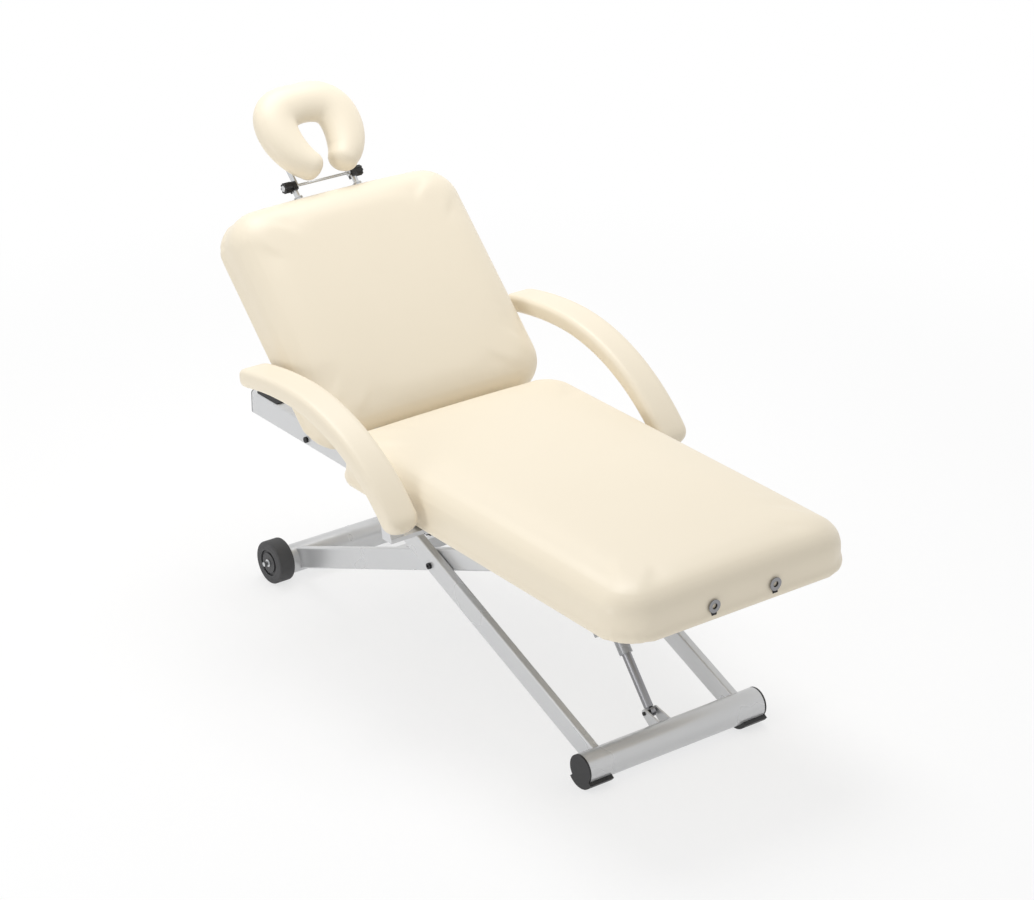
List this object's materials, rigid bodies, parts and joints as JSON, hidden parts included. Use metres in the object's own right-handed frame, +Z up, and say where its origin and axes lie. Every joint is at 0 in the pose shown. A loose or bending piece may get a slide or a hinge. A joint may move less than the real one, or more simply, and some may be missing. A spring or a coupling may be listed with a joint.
{
  "type": "treatment_table",
  "caption": "Electric-lift spa and massage treatment table with a raised back, two arched armrests, a horseshoe face cradle and a scissor-lift base on wheels.",
  "frame": {"origin": "on the floor, under the middle of the table's outline", "axes": "+X across the table to the user's left when lying with the head at +Y on the back, -Y the foot end, +Y the head end, +Z up"},
  "size_m": [0.974, 1.9702, 1.3414],
  "materials": {
    "vinyl": "soft semi-gloss upholstery vinyl",
    "frame": "silver powder coat",
    "steel": "bright drawn steel",
    "black": "matt moulded plastic",
    "black_steel": "black oxide",
    "rubber": "matt rubber",
    "tyre": "matt tyre rubber",
    "board": "plain plywood",
    "motor": "matt housing"
  },
  "bodies": {
    "foot_caps": {"foot_cap_left": "black", "foot_cap_right": "black"},
    "outer_frame": {"foot_tube": "frame", "outer_arm_left": "frame", "outer_arm_right": "frame", "outer_cross_tube": "frame", "actuator_clevis": "frame", "scissor_bolts": "black_steel"},
    "inner_frame": {"wheel_tube": "frame", "inner_arm_left": "frame", "inner_arm_right": "frame", "inner_cross_tube": "frame", "wheel_axle": "steel", "roller_axles": "steel"},
    "wheel_left": {"tyre_left": "tyre", "hub_left": "black"},
    "wheel_right": {"tyre_right": "tyre", "hub_right": "black"},
    "roller_left": {"roller_left": "black"},
    "roller_right": {"roller_right": "black"},
    "top_frame": {"rail_left": "frame", "rail_right": "frame", "rail_caps": "black", "seat_cross_tubes": "frame", "back_cross_tubes": "frame", "frame_pins": "black_steel", "lift_lugs": "frame", "roller_tracks": "frame", "rest_pads": "rubber", "hinge_brackets": "frame", "seat_board": "board", "seat_cushion": "vinyl", "foot_sockets": "steel", "foot_grommets": "black", "armrest_receivers": "frame", "actuator_hanger": "frame", "control_box": "black"},
    "backrest": {"back_board": "board", "back_cushion": "vinyl", "back_hinge_arms": "frame", "cradle_sockets": "steel", "head_grommets": "steel", "gas_spring_bracket": "frame"},
    "release_lever": {"release_lever": "steel"},
    "gas_cylinder": {"gas_spring_cylinder": "black_steel"},
    "gas_rod": {"gas_spring_rod": "steel"},
    "actuator_rod": {"actuator_rod": "steel"},
    "actuator_housing": {"actuator_housing": "motor"},
    "armrest_left": {"armrest_pad_left": "vinyl", "armrest_bracket_left": "frame"},
    "armrest_right": {"armrest_pad_right": "vinyl", "armrest_bracket_right": "frame"},
    "lock_knob_left": {"lock_knob_left": "black"},
    "lock_knob_right": {"lock_knob_right": "black"},
    "cradle_yoke": {"cradle_yoke": "steel", "cradle_clamps": "black"},
    "cradle": {"cradle_plate": "steel", "cradle_cushion": "vinyl"},
    "cradle_knob_left": {"cradle_knob_left": "black"},
    "cradle_knob_right": {"cradle_knob_right": "black"}
  },
  "joints": [
    {"name": "lift", "type": "hinge", "parent": "foot_caps", "child": "outer_frame", "pos_m": [0, -0.7131, 0.052], "axis": [1, 0, 0], "range_deg": [-8, 11]},
    {"name": "scissor", "type": "hinge", "parent": "outer_frame", "child": "inner_frame", "pos_m": [0, -0.0061, 0.322], "axis": [1, 0, 0], "range_deg": [-22.1, 16.1]},
    {"name": "upper_pivot", "type": "hinge", "parent": "outer_frame", "child": "top_frame", "pos_m": [0, 0.2159, 0.41808], "axis": [1, 0, 0], "range_deg": [-11.1, 8.1]},
    {"name": "wheel_left_spin", "type": "hinge", "parent": "inner_frame", "child": "wheel_left", "pos_m": [-0.27, 0.7009, 0.0618], "axis": [1, 0, 0], "continuous": true},
    {"name": "roller_left_spin", "type": "hinge", "parent": "inner_frame", "child": "roller_left", "pos_m": [-0.177, -0.2281, 0.41808], "axis": [1, 0, 0], "continuous": true},
    {"name": "wheel_right_spin", "type": "hinge", "parent": "inner_frame", "child": "wheel_right", "pos_m": [0.27, 0.7009, 0.0618], "axis": [1, 0, 0], "continuous": true},
    {"name": "roller_right_spin", "type": "hinge", "parent": "inner_frame", "child": "roller_right", "pos_m": [0.177, -0.2281, 0.41808], "axis": [1, 0, 0], "continuous": true},
    {"name": "back_lift", "type": "hinge", "parent": "top_frame", "child": "backrest", "pos_m": [0, 0.2744, 0.6], "axis": [1, 0, 0], "range_deg": [-44.4, 25.6]},
    {"name": "gas_spring_swing", "type": "hinge", "parent": "top_frame", "child": "gas_cylinder", "pos_m": [0, 0.3194, 0.466], "axis": [1, 0, 0], "range_deg": [-38.9, 22.5]},
    {"name": "gas_spring_stroke", "type": "slide", "parent": "gas_cylinder", "child": "gas_rod", "axis": [0, 0.6838, 0.7296], "range_m": [-0.1031, 0.0599]},
    {"name": "release_lever_turn", "type": "hinge", "parent": "backrest", "child": "release_lever", "pos_m": [0, 0.55819, 0.75614], "axis": [1, 0, 0], "range_deg": [-5, 0]},
    {"name": "actuator_swing", "type": "hinge", "parent": "outer_frame", "child": "actuator_rod", "pos_m": [0, -0.6351, 0.086], "axis": [1, 0, 0], "range_deg": [-6.3, 8.6]},
    {"name": "actuator_stroke", "type": "slide", "parent": "actuator_rod", "child": "actuator_housing", "axis": [0, 0.6374, 0.7705], "range_m": [-0.0654, 0.0895]},
    {"name": "armrest_left_slide", "type": "slide", "parent": "top_frame", "child": "armrest_left", "axis": [-1, 0, 0], "range_m": [0, 0.08]},
    {"name": "lock_knob_left_turn", "type": "hinge", "parent": "top_frame", "child": "lock_knob_left", "pos_m": [-0.329, -0.1311, 0.498], "axis": [0, 0, -1], "range_deg": [0, 360]},
    {"name": "armrest_right_slide", "type": "slide", "parent": "top_frame", "child": "armrest_right", "axis": [1, 0, 0], "range_m": [0, 0.08]},
    {"name": "lock_knob_right_turn", "type": "hinge", "parent": "top_frame", "child": "lock_knob_right", "pos_m": [0.329, -0.1311, 0.498], "axis": [0, 0, -1], "range_deg": [0, 360]},
    {"name": "cradle_slide", "type": "slide", "parent": "backrest", "child": "cradle_yoke", "axis": [0, 0.7145, 0.6997], "range_m": [0, 0.08]},
    {"name": "cradle_tilt", "type": "hinge", "parent": "cradle_yoke", "child": "cradle", "pos_m": [0, 0.82277, 1.10482], "axis": [1, 0, 0], "range_deg": [-50, 5]},
    {"name": "cradle_knob_left_turn", "type": "hinge", "parent": "cradle_yoke", "child": "cradle_knob_left", "pos_m": [-0.116, 0.82277, 1.10482], "axis": [-1, 0, 0], "range_deg": [0, 360]},
    {"name": "cradle_knob_right_turn", "type": "hinge", "parent": "cradle_yoke", "child": "cradle_knob_right", "pos_m": [0.116, 0.82277, 1.10482], "axis": [1, 0, 0], "range_deg": [0, 360]}
  ],
  "couplings": [
    {"joint": "scissor", "follows": "lift", "ratio": -2},
    {"joint": "upper_pivot", "follows": "lift", "ratio": -1},
    {"joint": "actuator_swing", "follows": "lift", "ratio": 0.7676},
    {"joint": "actuator_stroke", "follows": "lift", "m_per_rad": 0.46114},
    {"joint": "gas_spring_swing", "follows": "back_lift", "ratio": 0.8727},
    {"joint": "gas_spring_stroke", "follows": "back_lift", "m_per_rad": 0.13171}
  ]
}
